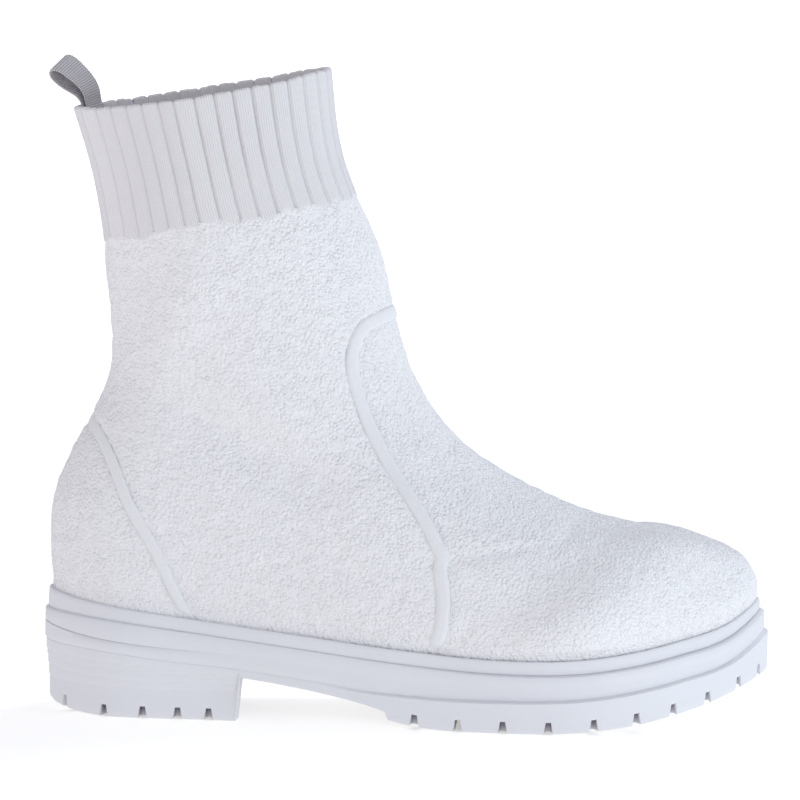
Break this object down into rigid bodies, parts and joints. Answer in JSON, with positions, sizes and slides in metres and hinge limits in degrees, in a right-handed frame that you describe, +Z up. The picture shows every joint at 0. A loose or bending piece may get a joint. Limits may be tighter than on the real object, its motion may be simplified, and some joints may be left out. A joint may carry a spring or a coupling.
{
  "type": "knitted ankle boot",
  "caption": "Pull-on ankle boot with a looped-knit sock upper, ribbed cuff, bonded tapes, ribbon pull loop and a thick notched sole.",
  "frame": {"origin": "on the floor, under the middle of the boot's bounding box", "axes": "+X from the heel to the toe, +Y to the inner side of the foot, +Z up"},
  "size_m": [0.2688, 0.1016, 0.2396],
  "materials": {
    "upper": "matt looped knit",
    "midsole": "satin moulded",
    "outsole": "satin moulded",
    "insole": "matt",
    "vamp_tape": "smooth bonded film",
    "heel_tape": "smooth bonded film",
    "pull_loop": "ribbed ribbon"
  },
  "bodies": {
    "root": {"upper": "upper", "midsole": "midsole", "outsole": "outsole", "insole": "insole", "vamp_tape": "vamp_tape", "heel_tape": "heel_tape", "pull_loop": "pull_loop"}
  },
  "joints": []
}
